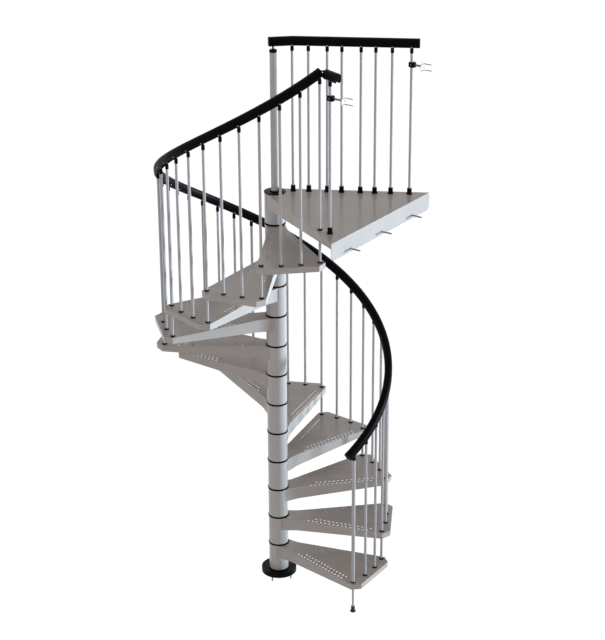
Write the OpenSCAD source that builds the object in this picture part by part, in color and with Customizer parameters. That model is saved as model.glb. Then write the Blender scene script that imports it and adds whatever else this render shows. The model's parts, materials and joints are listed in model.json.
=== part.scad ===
// Spiral staircase of folded steel treads on a stacked centre column, with a corner landing.
// Origin: the column's axis at floor level. +Z is up, +X points out of the landing's wall edge.
// The flight climbs anticlockwise seen from above. All sizes are in millimetres.

/* [Flight] */
// Height from one tread to the next
rise = 220; // [200:1:240]
// Number of treads below the landing
tread_count = 12; // [8:1:12]
// Turn from the first post to the last one, in degrees
total_turn = 340; // [300:1:345]
// Direction of the first post, in degrees from the landing's wall normal
first_post_angle = -12; // [-30:1:0]
// Radius of the circle that the balusters stand on
baluster_circle_r = 762.5; // [650:0.5:900]

/* [Centre column] */
// Outer diameter of the hub tubes
hub_d = 137; // [110:1:170]
// Wall of the hub tubes
hub_wall = 4; // [2:0.5:8]
// Thickness of the spacer ring between two hubs
ring_h = 12; // [4:1:16]
// How far a spacer ring stands out past the hub tubes
ring_over = 3.5; // [1:0.5:6]
// Diameter of the threaded centre rod
rod_d = 24; // [16:1:40]

/* [Base] */
// Diameter of the round cover over the base plate
cover_d = 247; // [230:1:300]
// Height of the cover's outer rim
cover_h = 34; // [20:1:40]
// Thickness of the base plate
base_plate_t = 11; // [8:1:12]
// Diameter of the circle that the floor anchors stand on
floor_anchor_pcd = 192; // [180:1:200]
// Diameter of every anchor
anchor_d = 10; // [6:1:12]
// Length of a floor anchor below the floor
floor_anchor_depth = 46; // [30:1:80]

/* [Treads] */
// Radius at the middle of a tread's straight outer edge
tread_r = 800; // [760:1:960]
// Half width of the tread where its neck meets the tapered sides
neck_half_w = 64; // [60:1:66]
// Distance from the column's axis to the end of the neck
neck_r = 129; // [110:1:160]
// Half length of the straight outer edge
outer_edge_half = 174; // [150:1:185]
// Depth of the outer corner chamfers along the radius
corner_cut = 54; // [30:1:60]
// Depth of the side flanges at the hub
flange_hub_h = 95; // [80:1:130]
// Depth of the side flanges at the outer edge
flange_end_h = 38; // [25:1:60]
// Thickness of the folded sheet
sheet_t = 3; // [2:0.5:5]
// Height of the top sheet's folded lip
lip_h = 15; // [8:1:20]
// How far the lip stands outside the flange below it
lip_out = 1.5; // [0.5:0.5:3]

/* [Perforation] */
// Diameter of the round perforations
perf_d = 14; // [6:1:16]
// Distance between perforations along a row
perf_pitch = 30.8; // [24:0.1:40]
// Distance from the tread's side edge to the outer row
perf_edge = 14.5; // [12:0.5:20]
// Distance between the two rows
perf_row_gap = 33; // [25:1:40]
// Distance along the edge from the column's axis to the first hole
perf_start = 230; // [200:1:260]
// Number of perforations in the outer row
perf_count = 15; // [4:1:15]

/* [Balusters] */
// Diameter of a baluster
baluster_d = 18; // [14:1:22]
// Wall of a baluster tube
baluster_wall = 1.5; // [1:0.5:3]
// Height of the lowest cap above the first tread
cap_height = 945; // [850:5:1000]
// Length of the cap on a baluster
cap_h = 34; // [30:1:50]
// Diameter of the cap on a baluster
cap_d = 23; // [22:1:28]
// Diameter of the collar at a baluster's foot
collar_d = 31; // [26:1:36]
// Height of the collar at a baluster's foot
collar_h = 9; // [5:1:15]
// Diameter of the first post
first_post_d = 25; // [22:1:28]
// Diameter of the leg below the first post
leg_d = 15; // [12:1:18]
// Height of the rubber foot under the leg
foot_h = 42; // [25:1:50]
// Diameter of the foot under the first post
foot_d = 27; // [22:1:32]
// Diameter of the foot's flange on the floor
foot_flange_d = 39; // [34:1:50]
// Diameter of the ball pin that carries the handrail
ball_d = 13; // [10:1:15]

/* [Handrail] */
// Width of the handrail
rail_w = 53; // [46:1:60]
// Thickness of the handrail
rail_h = 61; // [52:1:68]
// Depth of the channel along the handrail's underside
channel_depth = 14; // [10:1:18]
// Width of the channel along the handrail's underside
channel_w = 24; // [24:1:28]
// How far the handrail runs past the first post, in degrees
rail_start_over = 4.2; // [2:0.1:8]
// How far the handrail runs past the last through baluster, in degrees
rail_end_over = 0.6; // [0:0.1:4]
// How far the handrail's centre line runs inside the baluster circle
rail_inset = 0; // [0:0.5:4]
// Length of the level piece at the handrail's upper end
end_piece_len = 119; // [100:1:130]
// Direction of the level end piece, in degrees from the wall normal
end_piece_turn = -19; // [-25:1:-10]

/* [Landing] */
// Distance from the column's axis to the landing's wall edge
landing_x = 844; // [800:1:1000]
// Direction of the landing's side edges, in degrees from the wall normal
landing_angle = 29.9; // [28:0.1:33]
// Distance of the side edges from the radial line through the axis
landing_edge_off = 68; // [66:0.5:68]
// Depth of the landing's wall flange
wall_flange_h = 118; // [100:1:140]
// Size of the corner cuts on the wall flange's lower edge
wall_flange_cut = 22; // [10:1:30]
// Inset of the landing's baluster row from the side edge
row_inset = 38; // [30:1:45]
// Height from the landing to the bottom of its balusters' caps
landing_cap_height = 949; // [850:1:1000]
// Height of the sockets on the landing
socket_h = 42; // [30:1:60]
// Diameter of the sockets at their foot
socket_d = 39; // [34:1:44]
// Diameter of the sockets at their top
socket_top_d = 30; // [24:1:33]
// Diameter of the newel post
newel_d = 47; // [40:1:60]

/* [Wall fixings] */
// Distance between the landing's wall anchors
wall_anchor_gap = 356; // [300:1:400]
// Height of the wall anchors below the landing's top
wall_anchor_drop = 95; // [85:1:104]
// Length of a landing wall anchor outside the flange
wall_anchor_len = 74; // [60:1:120]
// Height of the wall clamps above the landing
clamp_height = 875; // [700:5:890]
// Diameter of the round wall plates
wall_plate_d = 76; // [66:1:100]
// Distance between the two anchors of a wall plate
plate_anchor_gap = 40; // [34:1:50]
// Length of a wall plate's anchors behind the plate
plate_anchor_len = 57; // [40:1:80]
// Diameter of a wall plate's anchors
plate_anchor_d = 6; // [5:0.5:8]

/* [Hidden] */

$fn = 48;
slip = 0.2;              // radial gap of a collar, cap or anchor round what it holds
seat = 0.3;              // gap between a ball pin and the channel above it
over = 200;              // how far a cutting solid runs past what it cuts

steel = [0.78, 0.79, 0.80];
bright = [0.72, 0.71, 0.69];
black = [0.09, 0.09, 0.09];
white = [0.93, 0.93, 0.93];

// Heights
first_top = base_plate_t + rise;
landing_z = first_top + rise * tread_count;

// Angles
tread_turn = total_turn / tread_count;
slots_per_tread = 3;
baluster_turn = tread_turn / slots_per_tread;
last_slot = slots_per_tread * tread_count;

function tread_z(i) = first_top + rise * (i - 1);
function tread_angle(i) = first_post_angle + tread_turn * (i - 0.5);
function slot_angle(k) = first_post_angle + baluster_turn * k;
function slot_point(k) = [baluster_circle_r * cos(slot_angle(k)), baluster_circle_r * sin(slot_angle(k))];
function cap_z(k) = first_top + cap_height + rise / slots_per_tread * k;

// Handrail: its profile's centre runs at a fixed height above the caps
rail_r = baluster_circle_r - rail_inset;
rail_pitch_angle = atan(rise / (rail_r * tread_turn * PI / 180));
ball_lift = cap_h + ball_d / 2 + 1;
channel_roof_lift = ball_lift + (ball_d / 2 + seat) / cos(rail_pitch_angle);
rail_lift = channel_roof_lift + (rail_h / 2 - channel_depth) / cos(rail_pitch_angle);

// Outlines
function unit(v) = v / norm(v);
function inset_corner(a, b, c, d) =
    let (u = unit(b - a), v = unit(c - b), m = [-u[1], u[0]], n = [-v[1], v[0]])
    b + (m + n) * d / (1 + m * n);
function inset(outline, d) =
    let (n = len(outline))
    [for (i = [0:n - 1]) inset_corner(outline[(i + n - 1) % n], outline[i], outline[(i + 1) % n], d)];

side_angle = tread_turn / 2;
side_start_x = hub_d / 4;
corner_x = tread_r - corner_cut;
function side_y(x) = neck_half_w + (x - neck_r) * tan(side_angle);
edge_off = neck_half_w * cos(side_angle) - neck_r * sin(side_angle);

tread_outline = [
    [side_start_x, -neck_half_w + 3], [neck_r, -neck_half_w], [corner_x, -side_y(corner_x)],
    [tread_r, -outer_edge_half], [tread_r, outer_edge_half],
    [corner_x, side_y(corner_x)], [neck_r, neck_half_w], [side_start_x, neck_half_w - 3]];

function landing_side_y(x) = (x * sin(landing_angle) + landing_edge_off) / cos(landing_angle);
landing_start_x = -landing_edge_off * sin(landing_angle);   // where the sides are nearest to the axis
landing_outline = [
    [landing_start_x, -landing_side_y(landing_start_x)], [landing_x, -landing_side_y(landing_x)],
    [landing_x, landing_side_y(landing_x)], [landing_start_x, landing_side_y(landing_start_x)]];

// A point at distance s along a landing side edge, inset from it; side is 1 or -1
function landing_row_point(s, side) =
    let (off = landing_edge_off - row_inset)
    [s * cos(landing_angle) - off * sin(landing_angle),
     side * (s * sin(landing_angle) + off * cos(landing_angle))];

landing_stations = [119, 223, 344, 438, 561, 655, 760, 883];
end_post = [734, -420];
landing_cap_z = landing_z + landing_cap_height;
landing_row = [for (s = landing_stations) landing_row_point(s, 1)];
wall_posts = [end_post, landing_row[len(landing_row) - 1]];

// Rail profile: a rounded section with a shallow groove along each side and a channel underneath,
// as an outline round the middle of the section, anticlockwise
rail_round = 2.6;        // exponent of the rounded section, where 2 is an ellipse
groove_depth = 2;
groove_from = 8;         // the groove's edges, as an angle on the section's curve
mouth_from = acos(pow(channel_w / rail_w, rail_round / 2));
function rail_curve(t) =
    [rail_w / 2 * pow(cos(t), 2 / rail_round), rail_h / 2 * sign(t) * pow(abs(sin(t)), 2 / rail_round)];
groove_edge = rail_curve(groove_from);
rail_half = concat(
    [[channel_w / 2, -rail_h / 2 + channel_depth]],
    [for (j = [0:3]) rail_curve(-mouth_from + (mouth_from - groove_from) * j / 3)],
    [for (side = [-1, 1]) [groove_edge[0] - groove_depth, side * (groove_edge[1] - groove_depth)]],
    [for (j = [0:5]) rail_curve(groove_from + (90 - groove_from) * j / 6)]);
rail_profile = concat(
    rail_half, [[0, rail_h / 2]],
    [for (i = [len(rail_half) - 1:-1:0]) [-rail_half[i][0], rail_half[i][1]]]);

// Places a flat outline at a point of the handrail's helix, square to its slope
function helix_ring(outline, angle, r, z, slope) =
    [for (p = outline)
        let (along = -p[1] * sin(slope), up = p[1] * cos(slope))
        [(r + p[0]) * cos(angle) - along * sin(angle), (r + p[0]) * sin(angle) + along * cos(angle), z + up]];

// Joins rings of points into one closed solid
module skin(rings) {
    n = len(rings[0]);
    last = len(rings) - 1;
    points = [for (ring = rings) for (p = ring) p];
    sides = [for (i = [0:last - 1], j = [0:n - 1])
        let (a = i * n + j, b = i * n + (j + 1) % n)
        each [[a, b + n, b], [a, a + n, b + n]]];
    first_end = [[for (j = [0:n - 1]) j]];
    last_end = [[for (j = [n - 1:-1:0]) last * n + j]];
    polyhedron(points, concat(first_end, sides, last_end));
}

module tube(d, wall, h) {
    difference() {
        cylinder(d = d, h = h);
        translate([0, 0, -1]) cylinder(d = d - 2 * wall, h = h + 2);
    }
}

module ring(outer_d, inner_d, h) {
    difference() {
        cylinder(d = outer_d, h = h);
        translate([0, 0, -1]) cylinder(d = inner_d, h = h + 2);
    }
}

module at_slot(k, z) {
    translate([slot_point(k)[0], slot_point(k)[1], z]) children();
}

// Base and column

anchor_hole_d = anchor_d + 4;
base_plate_d = cover_d - 16;
anchor_turn = 5.5;
head_h = 6;
cover_wall = 2.5;
cover_roof_z = cover_h - 6;   // underside of the cover

module at_floor_anchors() {
    for (i = [0:3]) rotate(anchor_turn + 90 * i) translate([floor_anchor_pcd / 2, 0, 0]) children();
}

module base_plate() {
    color(steel) difference() {
        cylinder(d = base_plate_d, h = base_plate_t);
        at_floor_anchors() translate([0, 0, -1]) cylinder(d = anchor_hole_d, h = base_plate_t + 2);
    }
}

// A pressed dish: rim, sunk annulus and a raised inner ring round the column's foot
module base_cover() {
    r = cover_d / 2;
    foot_r = hub_d / 2 + 1;
    color(black) rotate_extrude($fn = 96) polygon([
        [r - cover_wall, 0], [r, 0], [r, cover_h - 2], [r - 2, cover_h], [r - 5, cover_h],
        [r - 12, cover_h - cover_wall], [foot_r + 9, cover_h - cover_wall], [foot_r + 6, cover_h + 1],
        [foot_r, cover_h + 1], [foot_r, base_plate_t], [foot_r + cover_wall, base_plate_t],
        [foot_r + cover_wall, cover_roof_z], [r - 9, cover_roof_z], [r - cover_wall, cover_roof_z - 2]]);
}

module floor_anchors() {
    color(bright) at_floor_anchors() {
        translate([0, 0, -floor_anchor_depth]) cylinder(d = anchor_d, h = floor_anchor_depth + base_plate_t);
        translate([0, 0, base_plate_t]) cylinder(d = anchor_d + 6, h = head_h, $fn = 6);
    }
}

module center_rod() {
    color(bright) translate([0, 0, base_plate_t]) cylinder(d = rod_d, h = landing_z - base_plate_t);
}

module hub_tubes() {
    color(steel) {
        translate([0, 0, base_plate_t]) tube(hub_d, hub_wall, rise, $fn = 96);
        for (i = [1:tread_count])
            translate([0, 0, tread_z(i) + ring_h]) tube(hub_d, hub_wall, rise - ring_h, $fn = 96);
    }
}

module spacer_rings() {
    color(black) for (i = [1:tread_count])
        translate([0, 0, tread_z(i)]) ring(hub_d + 2 * ring_over, rod_d + 1, ring_h, $fn = 96);
}

// Treads

// A folded pan: top sheet with a lip, and flanges that taper from the hub outwards
module pan(outline, hub_flange, end_flange, reach) {
    difference() {
        union() {
            translate([0, 0, -lip_h]) linear_extrude(lip_h) polygon(outline);
            intersection() {
                translate([0, 0, -hub_flange - 1]) linear_extrude(hub_flange) polygon(inset(outline, lip_out));
                rotate([90, 0, 0]) linear_extrude(4 * reach, center = true)
                    polygon([[-hub_d / 2, -1], [-hub_d / 2, -hub_flange], [hub_d / 2, -hub_flange], [reach, -end_flange], [reach, -1]]);
            }
        }
        translate([0, 0, -hub_flange - over])
            linear_extrude(hub_flange + over - sheet_t) polygon(inset(outline, lip_out + sheet_t));
        translate([0, 0, -hub_flange - over]) cylinder(d = hub_d, h = hub_flange + 2 * over, $fn = 96);
    }
}

function edge_point(s, d) =
    [s * cos(side_angle) - (edge_off - d) * sin(side_angle), s * sin(side_angle) + (edge_off - d) * cos(side_angle)];

module perforations() {
    for (side = [0, 1], row = [0, 1], j = [0:perf_count - 1 - row]) {
        p = edge_point(perf_start + perf_pitch * (j + 1.5 * row), perf_edge + perf_row_gap * row);
        mirror([0, side, 0]) translate([p[0], p[1], -sheet_t - 1]) cylinder(d = perf_d, h = sheet_t + 2, $fn = 24);
    }
}

// Bolt holes under the balusters, and one clear hole where a baluster comes up from below
module baluster_holes(i) {
    for (h = [0:slots_per_tread]) {
        clear_d = h > 0 ? 9 : i == 1 ? leg_d + 1 : baluster_d + 1;
        rotate(baluster_turn * h - tread_turn / 2) translate([baluster_circle_r, 0, -sheet_t - 1])
            cylinder(d = clear_d, h = sheet_t + 2, $fn = 32);
    }
}

module tread(i) {
    color(steel) translate([0, 0, tread_z(i)]) rotate(tread_angle(i)) difference() {
        pan(tread_outline, flange_hub_h, flange_end_h, tread_r);
        perforations();
        baluster_holes(i);
    }
}

// Balusters

// A tube above the first tread, closed at its foot by a plug that carries the leg below
module first_post() {
    plug_h = 12;
    color(steel) at_slot(0, 0) {
        translate([0, 0, tread_z(1)]) tube(first_post_d, baluster_wall, cap_height);
        translate([0, 0, tread_z(1)]) cylinder(d = first_post_d - baluster_wall, h = plug_h);
        translate([0, 0, foot_h / 3]) cylinder(d = leg_d, h = tread_z(1) + plug_h / 2 - foot_h / 3);
    }
}

module first_post_foot() {
    color(black) at_slot(0, 0) difference() {
        rotate_extrude() polygon([[0, 0], [foot_flange_d / 2, 0], [foot_flange_d / 2, 6], [foot_d / 2, 10],
                                  [foot_d / 2, foot_h - 2], [foot_d / 2 - 2, foot_h], [0, foot_h]]);
        translate([0, 0, foot_h / 3]) cylinder(d = leg_d, h = foot_h);
    }
}

// A baluster at slot k stands on the tread below it and ends under its cap
module baluster(k) {
    foot_z = tread_z(ceil(k / slots_per_tread));
    at_slot(k, foot_z) tube(baluster_d, baluster_wall, cap_z(k) - foot_z);
}

module balusters_of(h) {
    color(steel) for (i = [1:tread_count]) baluster(slots_per_tread * (i - 1) + h);
}

module long_balusters() { balusters_of(3); }
module middle_balusters() { balusters_of(2); }
module short_balusters() { balusters_of(1); }

module collar(inner_d) {
    difference() {
        rotate_extrude() polygon([[0, 0], [collar_d / 2, 0], [collar_d / 2, collar_h - 3],
                                  [collar_d / 2 - 3, collar_h], [0, collar_h]]);
        translate([0, 0, -1]) cylinder(d = inner_d + 2 * slip, h = collar_h + 2);
    }
}

module baluster_collars() {
    color(black) {
        at_slot(0, tread_z(1)) collar(first_post_d);
        for (k = [1:last_slot]) at_slot(k, tread_z(ceil(k / slots_per_tread))) collar(baluster_d);
        for (i = [2:tread_count + 1]) at_slot(slots_per_tread * (i - 1), tread_z(i)) collar(baluster_d);
    }
}

module cap(d) {
    rotate_extrude() polygon([[0, 0], [d / 2, 0], [d / 2, cap_h - 8], [d / 2 - 3, cap_h], [0, cap_h]]);
}

module baluster_caps() {
    color(black) {
        at_slot(0, cap_z(0)) cap(first_post_d + 2);
        for (k = [1:last_slot]) at_slot(k, cap_z(k)) cap(cap_d);
    }
}

// A ball on a short stud, which stands on a cap and carries the rail
module ball_pin() {
    translate([0, 0, cap_h]) cylinder(d = 6, h = ball_lift - cap_h);
    translate([0, 0, ball_lift]) sphere(d = ball_d);
}

module ball_pins() {
    color(bright) {
        for (k = [0:last_slot]) at_slot(k, cap_z(k)) ball_pin();
        for (p = concat([end_post], landing_row)) translate([p[0], p[1], landing_cap_z]) ball_pin();
    }
}

// Handrail

rail_steps = 3 * last_slot;
rail_from = first_post_angle - rail_start_over;
rail_to = slot_angle(last_slot) + rail_end_over;
function rail_z(angle) = cap_z(0) + rail_lift + (angle - first_post_angle) / tread_turn * rise;

module handrail() {
    color(black) skin([for (i = [0:rail_steps])
        let (angle = rail_from + (rail_to - rail_from) * i / rail_steps)
        helix_ring(rail_profile, angle, rail_r, rail_z(angle), rail_pitch_angle)]);
}

// Level rail pieces share the profile; their channel roof sits just over the ball pins
level_rail_z = landing_cap_z + ball_lift + ball_d / 2 + seat + rail_h / 2 - channel_depth;

module level_rail(length) {
    rotate([90, 0, 90]) linear_extrude(length) polygon(rail_profile);
}

end_piece_back = 41;     // how much of the end piece lies behind its post
end_dir = [cos(end_piece_turn), sin(end_piece_turn)];
end_start = end_post - end_piece_back * end_dir;

module handrail_end() {
    color(black) translate([end_start[0], end_start[1], level_rail_z]) rotate(end_piece_turn)
        level_rail(end_piece_len);
}

// A level strip on edge, bent from the handrail's upper end face round to the end piece's face.
// It turns about the point where the planes of the two faces meet, so it stands square on both.
strip_t = 5;
strip_h = 9;
strip_lift = 9;          // height of the strip's lower edge above the end piece's middle
strip_off = 12;          // distance of the strip from the middle of each face
strip_steps = 12;
strip_back = 2;          // steps that it runs on into the handrail, before it is trimmed
strip_cut = 200;         // size of the block that trims it to the handrail's end face
module handrail_joint() {
    out = [cos(rail_to), sin(rail_to)];
    across = [-end_dir[1], end_dir[0]];
    rail_end = rail_r * out;
    reach = cross(end_start - rail_end, across) / cross(out, across);
    centre = rail_end + reach * out;
    from_r = reach - strip_off;
    to_r = (end_start - centre) * across + strip_off;
    from_turn = rail_to - 180;
    to_turn = end_piece_turn + 90;
    function arc_point(i, off) = let (t = i / strip_steps, turn = from_turn + (to_turn - from_turn) * t)
        centre + (from_r + (to_r - from_r) * t + off) * [cos(turn), sin(turn)];
    color(black) difference() {
        translate([0, 0, level_rail_z + strip_lift]) linear_extrude(strip_h) polygon(concat(
            [for (i = [-strip_back:strip_steps]) arc_point(i, strip_t / 2)],
            [for (i = [strip_steps:-1:-strip_back]) arc_point(i, -strip_t / 2)]));
        translate([rail_end[0], rail_end[1], rail_z(rail_to)]) rotate([0, -rail_pitch_angle, rail_to + 90])
            translate([-strip_cut, -strip_cut / 2, -strip_cut / 2]) cube(strip_cut);
    }
}

// Landing

module landing() {
    wall_flange_w = 2 * landing_side_y(landing_x);
    color(steel) translate([0, 0, landing_z]) difference() {
        union() {
            pan(landing_outline, flange_hub_h, flange_end_h, landing_x);
            translate([landing_x - sheet_t, 0, 0]) rotate([90, 0, 90]) linear_extrude(sheet_t) polygon([
                [-wall_flange_w / 2, 0], [wall_flange_w / 2, 0],
                [wall_flange_w / 2, wall_flange_cut - wall_flange_h], [wall_flange_w / 2 - wall_flange_cut, -wall_flange_h],
                [wall_flange_cut - wall_flange_w / 2, -wall_flange_h], [-wall_flange_w / 2, wall_flange_cut - wall_flange_h]]);
        }
        at_slot(last_slot, -sheet_t - 1) cylinder(d = baluster_d + 1, h = sheet_t + 2, $fn = 32);
        for (p = concat([end_post], landing_row)) translate([p[0], p[1], -sheet_t - 1])
            cylinder(d = 9, h = sheet_t + 2, $fn = 32);
        at_wall_anchors() translate([0, 0, -sheet_t - 1]) cylinder(d = anchor_hole_d, h = sheet_t + 2, $fn = 32);
    }
}

// Axes pointing out of the wall edge, with their origin on the flange's outer face, below the landing's top
module at_wall_anchors() {
    for (i = [-1:1]) translate([landing_x, i * wall_anchor_gap, -wall_anchor_drop]) rotate([0, 90, 0]) children();
}

module landing_anchors() {
    color(bright) translate([0, 0, landing_z]) at_wall_anchors() {
        translate([0, 0, -sheet_t]) cylinder(d = anchor_d, h = wall_anchor_len + sheet_t);
        translate([0, 0, -sheet_t - head_h]) cylinder(d = anchor_d + 8, h = head_h, $fn = 6);
    }
}

disc_h = 6;
module landing_disc() {
    color(black) translate([0, 0, landing_z]) rotate_extrude($fn = 96)
        polygon([[0, 0], [hub_d / 2 + ring_over, 0], [hub_d / 2 + ring_over, disc_h - 2],
                 [hub_d / 2 + ring_over - 2, disc_h], [0, disc_h]]);
}

newel_foot_z = landing_z + disc_h;
newel_cap_h = 18;
newel_top_z = landing_z + cap_height;
module newel_post() {
    color(steel) translate([0, 0, newel_foot_z]) tube(newel_d, 2, newel_top_z - newel_foot_z);
}

module newel_collar() {
    color(black) translate([0, 0, newel_foot_z]) ring(newel_d + 14, newel_d + 2 * slip, 6);
}

module newel_cap() {
    stud_top = level_rail_z - rail_h / 2 + channel_depth;
    color(black) translate([0, 0, newel_top_z]) {
        rotate_extrude() polygon([[0, 0], [newel_d / 2 + 1.5, 0], [newel_d / 2 + 1.5, newel_cap_h - 5],
                                  [newel_d / 2 - 4, newel_cap_h], [0, newel_cap_h]]);
        cylinder(d = 12, h = stud_top - seat - newel_top_z);
    }
}

module landing_balusters() {
    color(steel) for (p = concat([end_post], landing_row))
        translate([p[0], p[1], landing_z]) tube(baluster_d, baluster_wall, landing_cap_height);
}

module landing_sockets() {
    color(black) for (p = concat([end_post], landing_row)) translate([p[0], p[1], landing_z]) difference() {
        rotate_extrude() polygon([[0, 0], [socket_d / 2, 0], [socket_d / 2, 6], [socket_top_d / 2 + 1.5, 9],
                                  [socket_top_d / 2, socket_h - 2], [socket_top_d / 2 - 2, socket_h], [0, socket_h]]);
        translate([0, 0, -1]) cylinder(d = baluster_d + 2 * slip, h = socket_h + 2);
    }
}

module landing_caps() {
    color(black) for (p = concat([end_post], landing_row)) translate([p[0], p[1], landing_cap_z]) cap(cap_d);
}

// The level rail: a short length over the newel, mitred to the long one over the baluster row
newel_over = 30;
row_over = 52;
module landing_handrail() {
    bend = landing_row[0];
    far = landing_row_point(landing_stations[len(landing_stations) - 1] + row_over, 1);
    near_dir = unit(bend);
    near = -near_dir * newel_over;
    row_dir = unit(far - bend);
    mitre_dir = unit(near_dir + row_dir);
    function section(p, dir, widen) =
        [for (q = rail_profile) [p[0] + dir[1] * q[0] * widen, p[1] - dir[0] * q[0] * widen, level_rail_z + q[1]]];
    color(black) skin([section(near, near_dir, 1), section(bend, mitre_dir, 1 / (near_dir * mitre_dir)),
                       section(far, row_dir, 1)]);
}

// Wall clamps: a block round the baluster, an arm, and a round plate on the wall's plane

clamp_l = 42;
clamp_w = 30;
clamp_h = 34;
clamp_back = 15;         // how much of the block lies behind the baluster's axis
plate_t = 4;
arm_d = 14;
module at_wall_posts() {
    for (p = wall_posts) translate([p[0], p[1], landing_z + clamp_height]) children();
}

module wall_clamps() {
    color(black) at_wall_posts() difference() {
        intersection() {
            translate([-clamp_back, -clamp_w / 2, -clamp_h / 2]) cube([clamp_l, clamp_w, clamp_h]);
            rotate([0, 90, 0]) translate([0, 0, -clamp_back]) cylinder(d = clamp_h * 1.25, h = clamp_l);
        }
        translate([0, 0, -clamp_h]) cylinder(d = baluster_d + 2 * slip, h = 2 * clamp_h);
    }
}

module clamp_arms() {
    color(bright) for (p = wall_posts)
        translate([p[0] + clamp_l - clamp_back, p[1], landing_z + clamp_height]) rotate([0, 90, 0])
            cylinder(d = arm_d, h = landing_x - plate_t - p[0] - clamp_l + clamp_back);
}

module at_wall_plates() {
    for (p = wall_posts) translate([landing_x, p[1], landing_z + clamp_height]) rotate([0, 90, 0]) children();
}

module wall_plates() {
    color(white) at_wall_plates() translate([0, 0, -plate_t]) difference() {
        cylinder(d = wall_plate_d, h = plate_t, $fn = 64);
        for (s = [-1, 1]) translate([s * plate_anchor_gap / 2, 0, -1]) cylinder(d = plate_anchor_d + 4, h = plate_t + 2);
    }
}

module wall_anchors() {
    color(bright) at_wall_plates() for (s = [-1, 1]) translate([s * plate_anchor_gap / 2, 0, 0]) {
        translate([0, 0, -plate_t]) cylinder(d = plate_anchor_d, h = plate_anchor_len + plate_t);
        translate([0, 0, -plate_t - 4]) cylinder(d = plate_anchor_d + 6, h = 4, $fn = 6);
    }
}

base_plate();
base_cover();
floor_anchors();
center_rod();
hub_tubes();
spacer_rings();
tread(1);  // tread_01
tread(2);  // tread_02
tread(3);  // tread_03
tread(4);  // tread_04
tread(5);  // tread_05
tread(6);  // tread_06
tread(7);  // tread_07
tread(8);  // tread_08
tread(9);  // tread_09
tread(10);  // tread_10
tread(11);  // tread_11
tread(12);  // tread_12
first_post();
first_post_foot();
long_balusters();
middle_balusters();
short_balusters();
baluster_collars();
baluster_caps();
ball_pins();
handrail();
handrail_joint();
handrail_end();
landing();
landing_disc();
newel_post();
newel_collar();
newel_cap();
landing_balusters();
landing_sockets();
landing_caps();
landing_handrail();
landing_anchors();
wall_clamps();
clamp_arms();
wall_plates();
wall_anchors();
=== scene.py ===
import bpy
import json
from math import radians, sin, cos, tan, atan, acos, pi
from mathutils import Matrix, Vector


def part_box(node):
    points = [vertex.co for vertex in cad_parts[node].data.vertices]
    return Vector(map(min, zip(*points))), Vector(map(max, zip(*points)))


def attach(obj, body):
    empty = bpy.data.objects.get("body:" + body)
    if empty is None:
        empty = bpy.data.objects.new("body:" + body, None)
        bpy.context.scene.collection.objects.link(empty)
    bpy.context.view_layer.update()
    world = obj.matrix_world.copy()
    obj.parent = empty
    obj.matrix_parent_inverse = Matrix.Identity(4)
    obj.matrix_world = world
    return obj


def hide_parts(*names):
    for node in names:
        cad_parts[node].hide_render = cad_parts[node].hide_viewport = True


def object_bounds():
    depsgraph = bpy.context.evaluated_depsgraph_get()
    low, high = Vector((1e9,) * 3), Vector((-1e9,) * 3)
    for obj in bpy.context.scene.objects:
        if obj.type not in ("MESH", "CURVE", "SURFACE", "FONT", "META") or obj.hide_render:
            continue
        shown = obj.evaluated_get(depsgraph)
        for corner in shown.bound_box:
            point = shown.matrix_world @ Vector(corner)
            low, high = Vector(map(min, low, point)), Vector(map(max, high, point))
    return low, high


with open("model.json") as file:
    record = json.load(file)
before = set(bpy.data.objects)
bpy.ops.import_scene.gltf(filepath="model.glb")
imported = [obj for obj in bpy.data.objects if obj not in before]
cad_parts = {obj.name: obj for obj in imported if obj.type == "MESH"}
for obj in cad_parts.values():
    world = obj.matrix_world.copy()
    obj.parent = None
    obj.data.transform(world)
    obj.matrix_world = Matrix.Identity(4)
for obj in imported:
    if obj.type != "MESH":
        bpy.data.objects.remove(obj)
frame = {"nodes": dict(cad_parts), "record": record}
nodes = frame["nodes"]
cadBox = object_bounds()

# The stair's own layout, in metres and degrees, as the construction has it
stair = {"rise": 0.22, "treads": 12, "turn": 340.0, "firstPost": -12.0, "circle": 0.7625,
         "perTread": 3, "firstTop": 0.231, "capHeight": 0.945, "sheet": 0.003, "wall": 0.844,
         "flange": 0.093}
treadTurn = stair["turn"] / stair["treads"]
slotTurn = treadTurn / stair["perTread"]
lastSlot = stair["treads"] * stair["perTread"]
landingTop = stair["firstTop"] + stair["rise"] * stair["treads"]
out = Vector((1, 0, 0))
up = Vector((0, 0, 1))

# Where the landing's balusters stand: along its side edge, and one at the front corner
row = {"angle": 29.9, "off": 0.03, "capHeight": 0.949, "clampHeight": 0.875,
       "stations": (0.119, 0.223, 0.344, 0.438, 0.561, 0.655, 0.76, 0.883), "endPost": (0.734, -0.42)}


def rowPoint(station):
    turn = radians(row["angle"])
    along, across = Vector((cos(turn), sin(turn), 0)), Vector((-sin(turn), cos(turn), 0))
    return station * along + row["off"] * across


def slotPoint(slot, height=0.0):
    turn = radians(stair["firstPost"] + slotTurn * slot)
    return Vector((stair["circle"] * cos(turn), stair["circle"] * sin(turn), height))


def treadTop(tread):
    return stair["firstTop"] + stair["rise"] * (tread - 1)


def capBase(slot):
    return stair["firstTop"] + stair["capHeight"] + stair["rise"] / stair["perTread"] * slot


# Twelve metres off, looking down on the flight from its front right, through a long lens. It stands side
# degrees round from -Y towards +X, and its view runs parallel to one straight in from aim degrees.
viewpoint = {"away": 12.0285, "height": 7.2265, "side": 36.49, "aim": 35.643, "down": 23.693,
             "roll": -0.339, "lens": 109.236, "farthest": 200.0}


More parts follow.
